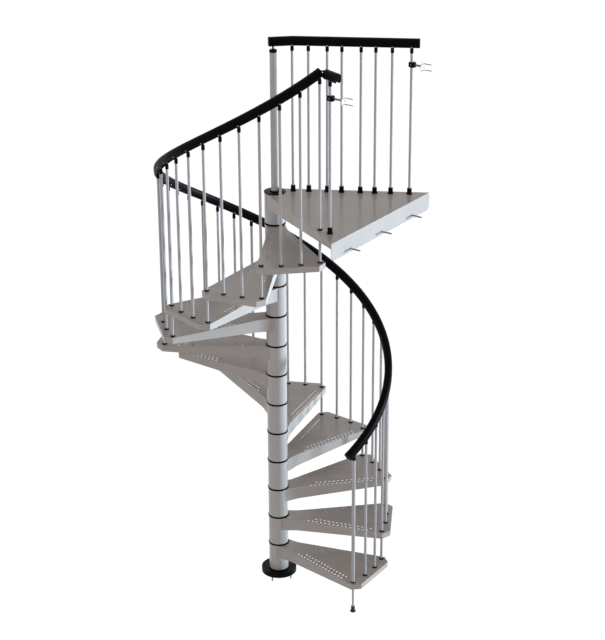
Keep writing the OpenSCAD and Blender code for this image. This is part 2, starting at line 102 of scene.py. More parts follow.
def addCamera():
    camera = bpy.data.objects.new("Camera", bpy.data.cameras.new("Camera"))
    bpy.context.scene.collection.objects.link(camera)
    side = radians(viewpoint["side"])
    camera.location = (viewpoint["away"] * sin(side), -viewpoint["away"] * cos(side), viewpoint["height"])
    turn = (Matrix.Rotation(radians(viewpoint["aim"]), 3, "Z")
            @ Matrix.Rotation(radians(90 - viewpoint["down"]), 3, "X")
            @ Matrix.Rotation(radians(viewpoint["roll"]), 3, "Z"))
    camera.rotation_euler = turn.to_euler()
    camera.data.lens = viewpoint["lens"]
    camera.data.clip_end = viewpoint["farthest"]
    bpy.context.scene.camera = camera


addCamera()
print("camera set")


def linear(hexColour):
    # sRGB hex to the linear colour that a shader socket takes
    channels = [int(hexColour[i:i + 2], 16) / 255 for i in (1, 3, 5)]
    return tuple(c / 12.92 if c <= 0.04045 else ((c + 0.055) / 1.055) ** 2.4 for c in channels) + (1.0,)


def addNode(tree, kind, links=None, values=None, **settings):
    # A node with its settings, its plain socket values and the sockets that feed it
    node = tree.nodes.new(kind)
    for name, value in settings.items():
        setattr(node, name, value)
    for socket, value in (values or {}).items():
        node.inputs[socket].default_value = value
    for socket, source in (links or {}).items():
        tree.links.new(source, node.inputs[socket])
    return node


def newMaterial(name):
    material = bpy.data.materials.new(name)
    material.use_nodes = True
    tree = material.node_tree
    shader = tree.nodes["Principled BSDF"]
    place = addNode(tree, "ShaderNodeTexCoord").outputs["Object"]
    return material, tree, shader, place


def perMetre(millimetres):
    # How often a pattern of this size comes in a metre, which is the scale of its texture
    return 1000 / millimetres


noiseSpan = {"From Min": 0.3, "From Max": 0.7}  # where nearly all of a noise texture's values lie

# The finishes below have their patterns' sizes in millimetres, their bumps' heights in metres and sRGB hex
# colours.

# Polyester powder coat on steel, baked: an even satin-gloss skin with a faint orange peel.
# The peel's real cells are about 1.5 mm across; they are drawn at 6 mm so that they show.
coat = {"cloud": 143.0, "cloudFrom": 0.35, "cloudTo": 0.65, "glossier": 0.03, "duller": 0.04,
        "peel": 6.25, "peelStrength": 0.06, "peelHigh": 0.0004, "ior": 1.5}


def powderCoat(name, colour, shade, roughness, shine=0.5):
    material, tree, shader, place = newMaterial(name)
    cloud = addNode(tree, "ShaderNodeTexNoise", {"Vector": place},
                    {"Scale": perMetre(coat["cloud"]), "Detail": 3.0})
    tint = addNode(tree, "ShaderNodeValToRGB", {"Fac": cloud.outputs["Fac"]})
    tint.color_ramp.elements[0].position = coat["cloudFrom"]
    tint.color_ramp.elements[0].color = linear(shade)
    tint.color_ramp.elements[1].position = coat["cloudTo"]
    tint.color_ramp.elements[1].color = linear(colour)
    gloss = addNode(tree, "ShaderNodeMapRange", {"Value": cloud.outputs["Fac"]},
                    {**noiseSpan, "To Min": roughness - coat["glossier"],
                     "To Max": roughness + coat["duller"]})
    peel = addNode(tree, "ShaderNodeTexNoise", {"Vector": place},
                   {"Scale": perMetre(coat["peel"]), "Detail": 2.0})
    bump = addNode(tree, "ShaderNodeBump", {"Height": peel.outputs["Fac"]},
                   {"Strength": coat["peelStrength"], "Distance": coat["peelHigh"]})
    tree.links.new(tint.outputs["Color"], shader.inputs["Base Color"])
    tree.links.new(gloss.outputs["Result"], shader.inputs["Roughness"])
    tree.links.new(bump.outputs["Normal"], shader.inputs["Normal"])
    shader.inputs["IOR"].default_value = coat["ior"]
    shader.inputs["Specular IOR Level"].default_value = shine
    return material


# Injection-moulded black nylon with a spark-eroded grain: near black, with a low satin sheen.
# The real grain is under 0.1 mm; it is drawn at 2.4 mm so that it breaks up the sheen.
nylon = {"colour": "#060606", "grain": 2.38, "grainStrength": 0.15, "grainHigh": 0.0002,
         "glossy": 0.26, "dull": 0.38, "ior": 1.3, "shine": 0.12}


def mouldedNylon():
    material, tree, shader, place = newMaterial("moulded black nylon")
    grain = addNode(tree, "ShaderNodeTexNoise", {"Vector": place},
                    {"Scale": perMetre(nylon["grain"]), "Detail": 2.0})
    gloss = addNode(tree, "ShaderNodeMapRange", {"Value": grain.outputs["Fac"]},
                    {**noiseSpan, "To Min": nylon["glossy"], "To Max": nylon["dull"]})
    bump = addNode(tree, "ShaderNodeBump", {"Height": grain.outputs["Fac"]},
                   {"Strength": nylon["grainStrength"], "Distance": nylon["grainHigh"]})
    tree.links.new(gloss.outputs["Result"], shader.inputs["Roughness"])
    tree.links.new(bump.outputs["Normal"], shader.inputs["Normal"])
    shader.inputs["Base Color"].default_value = linear(nylon["colour"])
    shader.inputs["IOR"].default_value = nylon["ior"]
    shader.inputs["Specular IOR Level"].default_value = nylon["shine"]
    return material


# Extruded black vinyl handrail: smooth, satin, with faint patches of shine from handling.
# Its skin is nearly flat; the unevenness is drawn at 3.3 mm so that the sheen isn't a hard line.
vinyl = {"colour": "#050505", "patches": 55.6, "glossy": 0.38, "dull": 0.5,
         "skin": 3.33, "skinStrength": 0.08, "skinHigh": 0.0003, "ior": 1.3, "shine": 0.1}


def extrudedVinyl():
    material, tree, shader, place = newMaterial("extruded black vinyl")
    patches = addNode(tree, "ShaderNodeTexNoise", {"Vector": place},
                      {"Scale": perMetre(vinyl["patches"]), "Detail": 4.0})
    gloss = addNode(tree, "ShaderNodeMapRange", {"Value": patches.outputs["Fac"]},
                    {**noiseSpan, "To Min": vinyl["glossy"], "To Max": vinyl["dull"]})
    skin = addNode(tree, "ShaderNodeTexNoise", {"Vector": place},
                   {"Scale": perMetre(vinyl["skin"]), "Detail": 2.0})
    bump = addNode(tree, "ShaderNodeBump", {"Height": skin.outputs["Fac"]},
                   {"Strength": vinyl["skinStrength"], "Distance": vinyl["skinHigh"]})
    tree.links.new(gloss.outputs["Result"], shader.inputs["Roughness"])
    tree.links.new(bump.outputs["Normal"], shader.inputs["Normal"])
    shader.inputs["Base Color"].default_value = linear(vinyl["colour"])
    shader.inputs["IOR"].default_value = vinyl["ior"]
    shader.inputs["Specular IOR Level"].default_value = vinyl["shine"]
    return material


# Zinc-plated steel: a grey metal with a faintly warm passivation and soft streaks
zinc = {"shade": "#625d55", "colour": "#959086", "streaks": 16.7, "glossy": 0.28, "dull": 0.45}


def zincPlate():
    material, tree, shader, place = newMaterial("zinc-plated steel")
    streaks = addNode(tree, "ShaderNodeTexNoise", {"Vector": place},
                      {"Scale": perMetre(zinc["streaks"]), "Detail": 3.0})
    tint = addNode(tree, "ShaderNodeValToRGB", {"Fac": streaks.outputs["Fac"]})
    tint.color_ramp.elements[0].color = linear(zinc["shade"])
    tint.color_ramp.elements[1].color = linear(zinc["colour"])
    gloss = addNode(tree, "ShaderNodeMapRange", {"Value": streaks.outputs["Fac"]},
                    {"To Min": zinc["glossy"], "To Max": zinc["dull"]})
    tree.links.new(tint.outputs["Color"], shader.inputs["Base Color"])
    tree.links.new(gloss.outputs["Result"], shader.inputs["Roughness"])
    shader.inputs["Metallic"].default_value = 1.0
    return material


# Hot-dip galvanised plate: dull zinc with crystals about 12 mm across
galvanised = {"shade": "#8d9194", "colour": "#aeb2b4", "crystals": 12.5, "glossy": 0.42, "dull": 0.6,
              "metallic": 0.9}


def hotDipZinc():
    material, tree, shader, place = newMaterial("hot-dip galvanised steel")
    crystals = addNode(tree, "ShaderNodeTexVoronoi", {"Vector": place},
                       {"Scale": perMetre(galvanised["crystals"])})
    tint = addNode(tree, "ShaderNodeValToRGB", {"Fac": crystals.outputs["Color"]})
    tint.color_ramp.elements[0].color = linear(galvanised["shade"])
    tint.color_ramp.elements[1].color = linear(galvanised["colour"])
    gloss = addNode(tree, "ShaderNodeMapRange", {"Value": crystals.outputs["Distance"]},
                    {"To Min": galvanised["glossy"], "To Max": galvanised["dull"]})
    tree.links.new(tint.outputs["Color"], shader.inputs["Base Color"])
    tree.links.new(gloss.outputs["Result"], shader.inputs["Roughness"])
    shader.inputs["Metallic"].default_value = galvanised["metallic"]
    return material


# Moulded black rubber: matt, with a dusty surface that lightens it a little
rubber = {"colour": "#121212", "dusty": "#242322", "dust": 11.1, "dustStrength": 0.2, "dustHigh": 0.0003,
          "roughness": 0.75}


def mouldedRubber():
    material, tree, shader, place = newMaterial("moulded black rubber")
    dust = addNode(tree, "ShaderNodeTexNoise", {"Vector": place},
                   {"Scale": perMetre(rubber["dust"]), "Detail": 4.0})
    tint = addNode(tree, "ShaderNodeValToRGB", {"Fac": dust.outputs["Fac"]})
    tint.color_ramp.elements[0].color = linear(rubber["colour"])
    tint.color_ramp.elements[1].color = linear(rubber["dusty"])
    bump = addNode(tree, "ShaderNodeBump", {"Height": dust.outputs["Fac"]},
                   {"Strength": rubber["dustStrength"], "Distance": rubber["dustHigh"]})
    tree.links.new(tint.outputs["Color"], shader.inputs["Base Color"])
    tree.links.new(bump.outputs["Normal"], shader.inputs["Normal"])
    shader.inputs["Roughness"].default_value = rubber["roughness"]
    return material


# A powder coat has its name, colour, the shade in its clouds, roughness and, where it isn't 0.5, its shine
finishes = {
    # The treads carry the same coat as the column, written warmer here: the warm tint is a painted
    # reflection of brownish surroundings on the tread tops.
    "tread_coat": powderCoat("light grey powder coat, treads", "#d3cfcb", "#cecac6", 0.17, 0.12),
    "column_coat": powderCoat("light grey powder coat, column", "#d1d1d1", "#cdcdcd", 0.14),
    "baluster_coat": powderCoat("light grey powder coat, balusters", "#cccdd0", "#c8c9cc", 0.12),
    "galvanised_steel": hotDipZinc(),
    "zinc_steel": zincPlate(),
    "black_plastic": mouldedNylon(),
    "rail_vinyl": extrudedVinyl(),
    "black_rubber": mouldedRubber(),
    "white_coat": powderCoat("white powder coat", "#fafafa", "#f6f6f6", 0.3)}
slotOf = {part["node"]: part["material_slot"] for part in frame["record"]["subparts"]}
for name, node in nodes.items():
    node.data.materials.clear()
    node.data.materials.append(finishes[slotOf[name]])
print("finishes made")


# A warm grey sky that is brighter low down, one cool lamp level with the stair at the viewer's right, and a
# weak one in front. Side is in degrees from +X towards +Y, and up is over the horizon.
studio = {"floorSize": 60.0, "floorWhite": 0.9, "floorMatt": (0.9, 0.89, 0.88), "floorGlow": 1.12,
          "floorGap": 0.0005, "skyGlow": 1.03,
          "ambient": (0.384, 0.345, 0.331), "lowSky": 1.15, "highSky": 0.62, "skyFrom": 0.2, "skyTo": 0.9,
          "key": (0.705, 0.862, 1.0), "keyPower": 4.35, "keySide": 44.0, "keyUp": 0.5, "keySoft": 8.0,
          "fill": (0.92, 0.97, 1.0), "fillPower": 0.32, "fillSide": 270.0, "fillUp": 3.0, "fillSoft": 30.0}


def seenDirectly(tree):
    # 1 where a camera, glossy or see-through ray meets the surface, and 0 for the light that it gives
    path = addNode(tree, "ShaderNodeLightPath")
    shiny = addNode(tree, "ShaderNodeMath", {0: path.outputs["Is Camera Ray"],
                                             1: path.outputs["Is Glossy Ray"]}, operation="MAXIMUM")
    return addNode(tree, "ShaderNodeMath", {0: shiny.outputs[0], 1: path.outputs["Is Transmission Ray"]},
                   operation="MAXIMUM").outputs[0]


def addWorld():
    world = bpy.data.worlds.new("studio")
    bpy.context.scene.world = world
    world.use_nodes = True
    tree = world.node_tree
    direction = addNode(tree, "ShaderNodeTexCoord").outputs["Generated"]
    height = addNode(tree, "ShaderNodeSeparateXYZ", {0: direction}).outputs["Z"]
    dimming = addNode(tree, "ShaderNodeMapRange", {"Value": height},
                      {"From Min": studio["skyFrom"], "From Max": studio["skyTo"],
                       "To Min": studio["lowSky"], "To Max": studio["highSky"]})
    tree.nodes["Background"].inputs["Color"].default_value = (*studio["ambient"], 1)
    tree.links.new(dimming.outputs["Result"], tree.nodes["Background"].inputs["Strength"])
    white = addNode(tree, "ShaderNodeBackground",
                    values={"Color": (1, 1, 1, 1), "Strength": studio["skyGlow"]})
    mix = addNode(tree, "ShaderNodeMixShader", {0: seenDirectly(tree), 2: white.outputs[0],
                                                1: tree.nodes["Background"].outputs[0]})
    tree.links.new(mix.outputs[0], tree.nodes["World Output"].inputs["Surface"])


def addFloor():
    lowest = cadBox[0][2]
    bpy.ops.mesh.primitive_plane_add(size=studio["floorSize"], location=(0, 0, lowest - studio["floorGap"]))
    floor = bpy.context.object
    floor.name = "studio_floor"
    material = bpy.data.materials.new("white floor")
    material.use_nodes = True
    tree = material.node_tree
    matt = addNode(tree, "ShaderNodeBsdfDiffuse", values={"Color": (*studio["floorMatt"], 1)})
    white = addNode(tree, "ShaderNodeEmission",
                    values={"Color": (1, 1, 1, 1), "Strength": studio["floorGlow"]})
    share = addNode(tree, "ShaderNodeMath", {0: seenDirectly(tree)}, {1: studio["floorWhite"]},
                    operation="MULTIPLY")
    mix = addNode(tree, "ShaderNodeMixShader",
                  {0: share.outputs[0], 1: matt.outputs[0], 2: white.outputs[0]})
    tree.links.new(mix.outputs[0], tree.nodes["Material Output"].inputs["Surface"])
    floor.data.materials.append(material)


def addLamp(name):
    # A distant soft lamp; its settings start with its name in studio
    light = bpy.data.lights.new(name, "SUN")
    light.energy = studio[name + "Power"]
    light.color = studio[name]
    light.angle = radians(studio[name + "Soft"])
    lamp = bpy.data.objects.new(name, light)
    bpy.context.scene.collection.objects.link(lamp)
    side, lift = radians(studio[name + "Side"]), radians(studio[name + "Up"])
    toLamp = Vector((cos(side) * cos(lift), sin(side) * cos(lift), sin(lift)))
    lamp.rotation_euler = toLamp.to_track_quat("Z", "Y").to_euler()


addWorld()
addFloor()
addLamp("key")
addLamp("fill")
bpy.context.scene.view_settings.view_transform = "Standard"
print("studio set")


# Edges sharper than crisp degrees stay sharp; points this near each other, in metres, become one
shaping = {"crisp": 35.0, "merge": 0.00002, "latheMerge": 0.00001, "cornerSteps": 4}


def startOn(piece=None):
    # Only this piece selected, or nothing
    bpy.ops.object.select_all(action="DESELECT")
    if piece:
        piece.select_set(True)
        bpy.context.view_layer.objects.active = piece


def edit(piece):
    startOn(piece)
    bpy.ops.object.mode_set(mode="EDIT")
    bpy.ops.mesh.select_all(action="SELECT")


def leave():
    bpy.ops.object.mode_set(mode="OBJECT")


def applyModifier(piece, kind, **settings):
    startOn(piece)
    modifier = piece.modifiers.new(kind.lower(), kind)
    for name, value in settings.items():
        setattr(modifier, name, value)
    bpy.ops.object.modifier_apply(modifier=modifier.name)


def finishPiece(piece, name, slot, replaced=(), crisp=shaping["crisp"]):
    # Name, finish, shading and ties to the frame of a finished piece
    startOn(piece)
    bpy.ops.object.transform_apply(location=True, rotation=True, scale=True)
    bpy.ops.object.shade_smooth_by_angle(angle=radians(crisp))
    piece.name = name
    piece.data.name = name
    piece.data.materials.clear()
    piece.data.materials.append(finishes[slot])
    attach(piece, "root")
    if replaced:
        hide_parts(*replaced)
    return piece


def faceOutward(piece):
    edit(piece)
    bpy.ops.mesh.remove_doubles(threshold=shaping["merge"])
    bpy.ops.mesh.normals_make_consistent(inside=False)
    leave()


# The vinyl section: a rounded bar with a shallow groove along each side and a channel underneath. At a
# round of 2 it would be an ellipse, and more is squarer. Over is how far the helix passes its end posts,
# in degrees, and the screws' outline is (radius, height, corner rounding).
rail = {"wide": 0.053, "high": 0.061, "round": 2.6, "grooveDepth": 0.002, "grooveFrom": 8.0,
        "grooveBulge": 0.0007, "channelWide": 0.024, "channelDeep": 0.014, "lipSoft": 0.0012,
        "sideSteps": 9, "topSteps": 14, "startOver": 4.2, "endOver": 0.6, "ringsPerTurn": 170,
        "levelBefore": 0.03, "levelBeyond": 0.052, "endTurn": -19.0, "endBack": 0.041, "endLength": 0.119,
        "screwOut": 0.0212, "screwDown": 0.0225, "screwSteps": 20,
        "screw": ((0, -0.003), (0.0052, -0.003), (0.0052, 0.0012, 0.0009), (0.0016, 0.0026, 0.0006),
                  (0, 0.0026))}


def railCurve(angle):
    power = 2 / rail["round"]
    across = rail["wide"] / 2 * cos(angle) ** power
    height = rail["high"] / 2 * abs(sin(angle)) ** power
    return Vector((across, height if angle > 0 else -height))


def railOutline():
    # Points round the section, anticlockwise from the channel's inner corner, about the section's middle
    half, grooveFrom = rail["channelWide"] / 2, radians(rail["grooveFrom"])
    mouth = acos((rail["channelWide"] / rail["wide"]) ** (rail["round"] / 2))
    roof = -rail["high"] / 2 + rail["channelDeep"]
    grooveX, grooveZ = railCurve(grooveFrom)
    inner = grooveX - rail["grooveDepth"]
    right = [Vector((half - rail["lipSoft"], roof)), Vector((half, roof - rail["lipSoft"]))]
    right += [railCurve(-mouth + (mouth - grooveFrom) * step / rail["sideSteps"])
              for step in range(rail["sideSteps"] + 1)]
    right += [Vector((inner, -grooveZ + rail["grooveDepth"])), Vector((inner, -grooveZ / 3)),
              Vector((inner + rail["grooveBulge"], 0)),
              Vector((inner, grooveZ / 3)), Vector((inner, grooveZ - rail["grooveDepth"]))]
    right += [railCurve(grooveFrom + (pi / 2 - grooveFrom) * step / rail["topSteps"])
              for step in range(rail["topSteps"])]
    return right + [Vector((0, rail["high"] / 2))] + [Vector((-p.x, p.y)) for p in reversed(right)]


def railRing(centre, outward, upward):
    # The section as a closed ring of edges, square to outward and upward
    outline = railOutline()
    bpy.ops.mesh.primitive_circle_add(vertices=len(outline), radius=rail["wide"] / 2)
    piece = bpy.context.object
    for vertex, point in zip(piece.data.vertices, outline):
        vertex.co = centre + outward * point.x + upward * point.y
    return piece


def closeEnds(piece):
    # A face on each open end
    edit(piece)
    bpy.ops.mesh.remove_doubles(threshold=shaping["merge"])
    bpy.ops.mesh.select_all(action="DESELECT")
    bpy.ops.mesh.select_mode(type="EDGE")
    bpy.ops.mesh.select_non_manifold(extend=False, use_wire=False, use_multi_face=False, use_verts=False)
    bpy.ops.mesh.edge_face_add()
    bpy.ops.mesh.select_mode(type="VERT")
    leave()
    faceOutward(piece)


def railHeight(slot):
    # Height of the helical handrail's middle over a slot, down from its top end
    slope = atan(stair["rise"] / (stair["circle"] * radians(treadTurn)))
    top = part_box("handrail")[1].z - rail["high"] / 2 * cos(slope)
    return top - (lastSlot - slot + rail["endOver"] / slotTurn) * stair["rise"] / stair["perTread"]


def makeHandrail():
    radius = stair["circle"]
    slope = atan(stair["rise"] / (radius * radians(treadTurn)))
    start = radians(stair["firstPost"] - rail["startOver"])
    sweep = stair["turn"] + rail["startOver"] + rail["endOver"]
    climb = sweep / treadTurn * stair["rise"]
    outward = Vector((cos(start), sin(start), 0))
    forward = Vector((-sin(start), cos(start), 0))
    upward = up * cos(slope) - forward * sin(slope)
    startHigh = railHeight(-rail["startOver"] / slotTurn)
    piece = railRing(outward * radius + up * startHigh, outward, upward)
    rings = round(rail["ringsPerTurn"] * sweep / 360)
    applyModifier(piece, "SCREW", axis="Z", angle=radians(sweep), screw_offset=climb, steps=rings,
                  render_steps=rings, use_merge_vertices=False, use_smooth_shade=True)
    closeEnds(piece)
    finishPiece(piece, "vinyl_handrail", "rail_vinyl", ["handrail"])


def extrudeTo(piece, direction, planePoint, planeNormal):
    # Extrudes the selected ring along a direction until it lies in a plane
    bpy.ops.mesh.extrude_region()
    leave()
    for vertex in piece.data.vertices:
        if vertex.select:
            reach = (planePoint - vertex.co).dot(planeNormal) / direction.dot(planeNormal)
            vertex.co += direction * reach
    bpy.ops.object.mode_set(mode="EDIT")


def makeLevelRail(name, replaced, path):
    # A level rail along a path of points in plan, mitred at each bend
    directions = [(b - a).normalized() for a, b in zip(path, path[1:])]
    first = directions[0]
    piece = railRing(path[0], Vector((first.y, -first.x, 0)), up)
    edit(piece)
    for index, direction in enumerate(directions):
        onward = directions[min(index + 1, len(directions) - 1)]
        extrudeTo(piece, direction, path[index + 1], (direction + onward).normalized())
    leave()
    closeEnds(piece)
    finishPiece(piece, name, "rail_vinyl", [replaced])


def makeLevelRails():
    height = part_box("landing_handrail")[1].z - rail["high"] / 2
    bend = rowPoint(row["stations"][0])
    near = -rail["levelBefore"] * bend.normalized()
    far = rowPoint(row["stations"][-1] + rail["levelBeyond"])
    makeLevelRail("level_handrail", "landing_handrail",
                  [point + height * up for point in (near, bend, far)])
    turn = radians(rail["endTurn"])
    ahead = Vector((cos(turn), sin(turn), 0))
    start = Vector((*row["endPost"], height)) - rail["endBack"] * ahead
    makeLevelRail("end_handrail", "handrail_end", [start, start + rail["endLength"] * ahead])


makeHandrail()
makeLevelRails()
print("handrails made")


def softCorner(before, corner, after, radius):
    # Points of the arc that rounds a corner
    back, on = (before - corner).normalized(), (after - corner).normalized()
    half = back.angle(on) / 2
    centre = corner + (back + on).normalized() * radius / sin(half)
    start, end = corner + back * radius / tan(half) - centre, corner + on * radius / tan(half) - centre
    steps = shaping["cornerSteps"]
    return [centre + start.slerp(end, step / steps).normalized() * radius for step in range(steps + 1)]


def lathe(corners, segments):
    # A solid of revolution about Z from (radius, height, corner rounding) points
    points = [Vector(corner[:2]) for corner in corners]
    outline = []
    for index, corner in enumerate(corners):
        if len(corner) > 2:
            following = points[(index + 1) % len(points)]
            outline += softCorner(points[index - 1], points[index], following, corner[2])
        else:
            outline.append(points[index])
    bpy.ops.mesh.primitive_circle_add(vertices=len(outline), radius=0.01)
    piece = bpy.context.object
    for vertex, point in zip(piece.data.vertices, outline):
        vertex.co = (point.x, 0, point.y)
    applyModifier(piece, "SCREW", axis="Z", angle=2 * pi, steps=segments, render_steps=segments,
                  use_merge_vertices=True, merge_threshold=shaping["latheMerge"])
    edit(piece)
    bpy.ops.mesh.remove_doubles(threshold=shaping["latheMerge"])
    bpy.ops.mesh.delete_loose(use_verts=True, use_edges=True, use_faces=False)
    bpy.ops.mesh.normals_make_consistent(inside=False)
    leave()
    return piece


def joined(pieces):
    startOn(pieces[0])
    for piece in pieces[1:]:
        piece.select_set(True)
    if len(pieces) > 1:
        bpy.ops.object.join()
    return bpy.context.object


def copied(piece, places):
    # The piece at each place, which is a point or a matrix, with a mesh of its own
    copies = []
    for place in places:
        startOn(piece)
        bpy.ops.object.duplicate(linked=False)
        copy = bpy.context.object
        copy.matrix_world = place if isinstance(place, Matrix) else Matrix.Translation(place)
        copies.append(copy)
    bpy.data.objects.remove(piece)
    return joined(copies)


def towards(point, direction):
    # A place at point whose Z axis runs along direction
    return Matrix.Translation(point) @ direction.to_track_quat("Z", "Y").to_matrix().to_4x4()


treads = range(1, stair["treads"] + 1)
slots = range(1, lastSlot + 1)
landingPosts = [Vector((*row["endPost"], 0))] + [rowPoint(station) for station in row["stations"]]
wallPosts = [landingPosts[0], landingPosts[-1]]


def slotTread(slot):
    # The tread that a slot's baluster stands on
    return -(-slot // stair["perTread"])


# Outlines are (radius, height) of each corner in metres, and how far the corner is rounded. The cover is a
# thin dish round the column's foot, open underneath.
cover = {"steps": 128,
         "outline": ((0.121, 0), (0.1235, 0), (0.1235, 0.034, 0.003), (0.1175, 0.034, 0.002),
                     (0.1105, 0.0315, 0.003), (0.0785, 0.0315, 0.002), (0.0755, 0.035, 0.0015),
                     (0.0695, 0.035, 0.0008), (0.0695, 0.011), (0.072, 0.011), (0.072, 0.028, 0.001),
                     (0.1145, 0.028, 0.002), (0.121, 0.026, 0.001))}


def makeCover():
    finishPiece(lathe(cover["outline"], cover["steps"]), "base_cover_dish", "black_plastic", ["base_cover"])


# The spacer ring on each tread, and the newel's disc, foot ring and cap with the pin on top of it
column = {
    "ring": ((0.0125, 0), (0.072, 0, 0.0012), (0.072, 0.012, 0.0018), (0.0125, 0.012)),
    "disc": ((0, 0), (0.072, 0, 0.0008), (0.072, 0.006, 0.0025), (0, 0.006)),
    "newelRing": ((0.0237, 0.006), (0.0305, 0.006, 0.0006), (0.0305, 0.012, 0.0028),
                  (0.0237, 0.012, 0.0008)),
    "cap": ((0, 0), (0.025, 0, 0.001), (0.025, 0.018, 0.005), (0.006, 0.018, 0.0015)),
    "pin": 0.006, "pinSoft": 0.0008, "steps": 96, "newelSteps": 64}


def makeColumnParts():
    finishPiece(copied(lathe(column["ring"], column["steps"]), [treadTop(tread) * up for tread in treads]),
                "column_rings", "black_plastic", ["spacer_rings"])
    finishPiece(copied(lathe(column["disc"], column["steps"]), [landingTop * up]),
                "newel_disc", "black_plastic", ["landing_disc"])
    finishPiece(copied(lathe(column["newelRing"], column["newelSteps"]), [landingTop * up]),
                "newel_foot_ring", "black_plastic", ["newel_collar"])
    low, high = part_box("newel_cap")
    tall = high.z - low.z
    cap = lathe([*column["cap"], (column["pin"], tall, column["pinSoft"]), (0, tall)], column["newelSteps"])
    finishPiece(copied(cap, [low.z * up]), "newel_top", "black_plastic", ["newel_cap"])


# Outlines of the plastic parts on the balusters; the first post is thicker, so its own are wider
mouldings = {
    "collar": ((0.0092, 0), (0.0155, 0, 0.0008), (0.0155, 0.006, 0.0012), (0.0125, 0.009, 0.0012),
               (0.0092, 0.009, 0.0006)),
    "firstCollar": ((0.0127, 0), (0.0155, 0, 0.0008), (0.0155, 0.006, 0.0012), (0.0138, 0.009, 0.0005),
                    (0.0127, 0.009)),
    "cap": ((0, 0), (0.0115, 0, 0.001), (0.0115, 0.026, 0.003), (0.0085, 0.034, 0.0018), (0, 0.034)),
    "firstCap": ((0, 0), (0.0135, 0, 0.001), (0.0135, 0.026, 0.003), (0.0105, 0.034, 0.0018), (0, 0.034)),
    "socket": ((0.0092, 0), (0.0195, 0, 0.0008), (0.0195, 0.006, 0.0018), (0.0165, 0.009, 0.0014),
               (0.015, 0.04, 0.0012), (0.013, 0.042, 0.0008), (0.0092, 0.042, 0.0006)),
    "foot": ((0, 0), (0.0195, 0, 0.001), (0.0195, 0.006, 0.0018), (0.0135, 0.01, 0.0018),
             (0.0135, 0.042, 0.002), (0.0077, 0.042, 0.0006), (0.0077, 0.014), (0, 0.014)),
    "steps": 32, "socketSteps": 40, "footSteps": 48}


def moulding(kind, places, steps="steps"):
    return copied(lathe(mouldings[kind], mouldings[steps]), places)


def makeBalusterParts():
    feet = [slotPoint(slot, treadTop(slotTread(slot))) for slot in slots]
    feet += [slotPoint(stair["perTread"] * tread, treadTop(tread + 1)) for tread in treads]
    finishPiece(joined([moulding("collar", feet), moulding("firstCollar", [slotPoint(0, treadTop(1))])]),
                "foot_collars", "black_plastic", ["baluster_collars"])
    finishPiece(joined([moulding("cap", [slotPoint(slot, capBase(slot)) for slot in slots]),
                        moulding("firstCap", [slotPoint(0, capBase(0))])]),
                "post_caps", "black_plastic", ["baluster_caps"])
    finishPiece(moulding("cap", [post + (landingTop + row["capHeight"]) * up for post in landingPosts]),
                "landing_post_caps", "black_plastic", ["landing_caps"])
    finishPiece(moulding("socket", [post + landingTop * up for post in landingPosts], "socketSteps"),
                "landing_post_sockets", "black_plastic", ["landing_sockets"])
    finishPiece(moulding("foot", [slotPoint(0)], "footSteps"),
                "adjustable_foot", "black_rubber", ["first_post_foot"])


# A hex bolt and a washer, hanging from the underside of the sheet
bolt = {"washer": ((0.0042, -0.0016), (0.0085, -0.0016, 0.0003), (0.0085, 0, 0.0003), (0.0042, 0)),
        "head": ((0, -0.0069), (0.0062, -0.0069), (0.0075, -0.0062), (0.0075, -0.0016), (0, -0.0016)),
        "washerSteps": 32}
hexSides = 6


def makeBolts():
    washer, head = lathe(bolt["washer"], bolt["washerSteps"]), lathe(bolt["head"], hexSides)
    feet = [slotPoint(slot, treadTop(slotTread(slot)) - stair["sheet"]) for slot in slots]
    feet += [post + (landingTop - stair["sheet"]) * up for post in landingPosts]
    finishPiece(copied(joined([washer, head]), feet), "baluster_bolts", "zinc_steel")


# Anchors run along the way they go into the wall or floor. A rod is its radius and pitch, and where it
# starts, its thread ends and it ends; a head or a washer is its radius, and where it starts and ends.
anchors = {
    "slab": {"rod": (0.005, 0.0015, -0.009, 0.042, 0.074), "head": (0.009, -0.009, -0.003),
             "washer": (0.0105, -0.0042, -0.003), "steps": 24, "down": 0.095, "gap": 0.356},
    "plate": {"rod": (0.003, 0.001, -0.008, 0.03, 0.057), "head": (0.006, -0.008, -0.004),
              "washer": (0.007, -0.0048, -0.004), "steps": 20, "half": 0.02},
    "floor": {"rod": (0.005, 0.0015, -0.017, 0.02, 0.046), "head": (0.008, -0.017, -0.011),
              "washer": (0.0105, -0.0122, -0.011), "steps": 24, "circle": 0.096, "firstTurn": 5.5,
              "count": 4}}
# What all anchors share: radii as shares of the rod's or head's own, and lengths in metres
anchorForm = {"root": 0.84, "neck": 0.8, "sleeve": 1.08, "coneFrom": 0.82, "coneTo": 0.85,
              "shoulder": 0.001, "neckLong": 0.002, "step": 0.0002, "coneLong": 0.009, "slit": 0.0005,
              "headTop": 0.84, "topSlope": 0.0009, "headFoot": 0.95, "footSlope": 0.0005,
              "washerBore": 0.002, "washerSoft": 0.0003, "washerSteps": 32}


def anchorRod(radius, pitch, start, threadEnd, end):
    # The outline of a threaded rod with an expansion sleeve and a cone at its far end
    form = anchorForm
    rod = [(0, start), (radius, start)]
    for ridge in range(int((threadEnd - start) / pitch)):
        low = start + ridge * pitch
        rod += [(radius * form["root"], low + pitch / 2), (radius, low + pitch)]
    sleeve, neck = radius * form["sleeve"], radius * form["neck"]
    neckStart, coneStart = threadEnd + form["shoulder"], end - form["coneLong"]
    neckEnd = neckStart + form["neckLong"]
    return rod + [
        (neck, neckStart), (neck, neckEnd), (sleeve, neckEnd + form["step"], form["step"]),
        (sleeve, coneStart, form["step"]), (radius * form["coneFrom"], coneStart + form["slit"]),
        (radius, end - form["shoulder"]), (radius * form["coneTo"], end), (0, end)]


